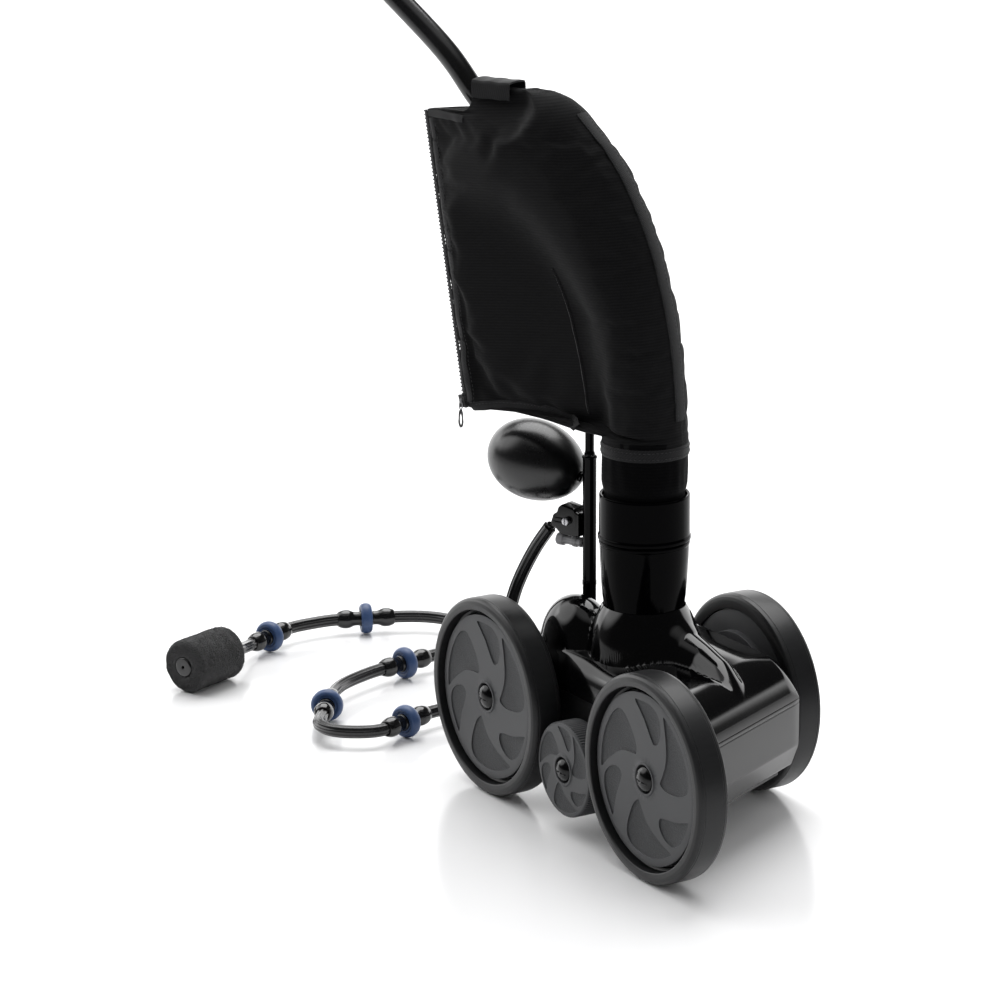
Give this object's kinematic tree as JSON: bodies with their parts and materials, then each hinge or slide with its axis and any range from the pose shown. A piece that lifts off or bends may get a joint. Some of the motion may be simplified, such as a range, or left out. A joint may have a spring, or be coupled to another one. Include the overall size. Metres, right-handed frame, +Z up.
{
  "type": "pool cleaner",
  "caption": "Wheeled pressure-driven pool cleaner with a glossy shell, vacuum tube and filter bag, float, feed hose, and a trailing floor hose ending in a foam scrubber.",
  "frame": {"origin": "on the floor under the middle of the machine, measured without its hoses", "axes": "+Z up, the front panel faces -Y, the side with two wheels is at -X"},
  "size_m": [0.3611, 0.895, 0.7867],
  "materials": {
    "gloss_black": "polished moulded plastic",
    "frame_black": "satin moulded plastic",
    "tyre_rubber": "matte moulded rubber",
    "disc_grey": "fine-textured moulded plastic",
    "bag_cloth": "knitted mesh cloth",
    "binding": "woven tape",
    "hose_black": "smooth flexible hose",
    "ring_blue": "satin elastomer",
    "foam_black": "open-cell foam",
    "steel": "stainless",
    "jet_grey": "moulded plastic"
  },
  "bodies": {
    "chassis": {"axle_block_far": "frame_black", "axle_block_front": "frame_black", "axle_block_rear": "frame_black", "bag_cuff": "binding", "bag_strap": "binding", "base_frame": "frame_black", "feed_hose": "hose_black", "feed_pipe_lower": "gloss_black", "feed_pipe_upper": "gloss_black", "filter_bag": "bag_cloth", "hose_connector": "gloss_black", "hose_coupling_1": "gloss_black", "hose_coupling_2": "gloss_black", "hose_coupling_3": "gloss_black", "hose_coupling_4": "gloss_black", "hose_coupling_5": "gloss_black", "idler_axle": "frame_black", "idler_screw": "gloss_black", "jet_block": "gloss_black", "nose_panel": "gloss_black", "scrubber_plug": "gloss_black", "sweep_barb": "gloss_black", "sweep_hose": "hose_black", "tail_panel": "gloss_black", "tail_scrubber": "foam_black", "top_shell": "gloss_black", "tube_collar": "gloss_black", "turbine_cover": "frame_black", "vacuum_jet_left": "jet_grey", "vacuum_jet_right": "jet_grey", "vacuum_tube": "gloss_black", "wear_ring_1": "ring_blue", "wear_ring_2": "ring_blue", "wear_ring_3": "ring_blue", "wear_ring_4": "ring_blue", "wear_ring_5": "ring_blue", "wheel_screw_far": "gloss_black", "wheel_screw_front": "gloss_black", "wheel_screw_rear": "gloss_black", "zip_chain": "binding"},
    "front_wheel": {"tyre_front": "tyre_rubber", "disc_front": "disc_grey"},
    "rear_wheel": {"tyre_rear": "tyre_rubber", "disc_rear": "disc_grey"},
    "far_wheel": {"tyre_far": "tyre_rubber", "disc_far": "disc_grey"},
    "idler": {"idler_wheel": "disc_grey"},
    "drive": {"drive_shaft": "steel", "drive_roller_near": "steel", "drive_roller_far": "steel", "turbine_rotor": "jet_grey"},
    "thrust_jet": {"thrust_nozzle": "gloss_black"},
    "flow_screw": {"adjust_screw": "steel"},
    "hose_swivel": {"swivel_nut": "gloss_black"},
    "float": {"tail_float": "gloss_black", "float_arm": "gloss_black"},
    "zip_runner": {"zip_slider": "binding"},
    "zip_tab": {"zip_pull": "binding"}
  },
  "joints": [
    {"name": "front_wheel_spin", "type": "hinge", "parent": "chassis", "child": "front_wheel", "pos_m": [0, -0.1454, 0.095], "axis": [1, 0, 0], "continuous": true},
    {"name": "rear_wheel_spin", "type": "hinge", "parent": "chassis", "child": "rear_wheel", "pos_m": [0, 0.1279, 0.095], "axis": [1, 0, 0], "continuous": true},
    {"name": "far_wheel_spin", "type": "hinge", "parent": "chassis", "child": "far_wheel", "pos_m": [0, 0.0124, 0.095], "axis": [1, 0, 0], "continuous": true},
    {"name": "idler_spin", "type": "hinge", "parent": "chassis", "child": "idler", "pos_m": [0, -0.00875, 0.0625], "axis": [1, 0, 0], "continuous": true},
    {"name": "drive_shaft_spin", "type": "hinge", "parent": "chassis", "child": "drive", "pos_m": [0, -0.0665, 0.095], "axis": [1, 0, 0], "continuous": true},
    {"name": "thrust_jet_turn", "type": "hinge", "parent": "chassis", "child": "thrust_jet", "pos_m": [-0.02485, 0.10322, 0.2385], "axis": [0, 0, 1], "range_deg": [-20, 20]},
    {"name": "flow_screw_turn", "type": "hinge", "parent": "chassis", "child": "flow_screw", "pos_m": [-0.03885, 0.10955, 0.26], "axis": [-0.9166, -0.3998, 0], "range_deg": [0, 720]},
    {"name": "hose_swivel_turn", "type": "hinge", "parent": "chassis", "child": "hose_swivel", "pos_m": [-0.02189, 0.09644, 0.452], "axis": [0, 0, 1], "continuous": true},
    {"name": "float_swing", "type": "hinge", "parent": "chassis", "child": "float", "pos_m": [-0.02189, 0.09644, 0.3], "axis": [0, 0, 1], "range_deg": [-25, 25]},
    {"name": "zip_slide", "type": "slide", "parent": "chassis", "child": "zip_runner", "axis": [-0.0615, 0.141, 0.9881], "range_m": [0, 0.25]},
    {"name": "zip_pull_hang", "type": "hinge", "parent": "zip_runner", "child": "zip_tab", "pos_m": [-0.1013, 0.19845, 0.36567], "axis": [-0.3998, 0.9166, 0], "range_deg": [0, 150]}
  ],
  "couplings": [
    {"joint": "rear_wheel_spin", "follows": "front_wheel_spin", "ratio": 1},
    {"joint": "far_wheel_spin", "follows": "front_wheel_spin", "ratio": 1},
    {"joint": "idler_spin", "follows": "front_wheel_spin", "ratio": -2.1253},
    {"joint": "drive_shaft_spin", "follows": "front_wheel_spin", "ratio": -3.2258}
  ]
}
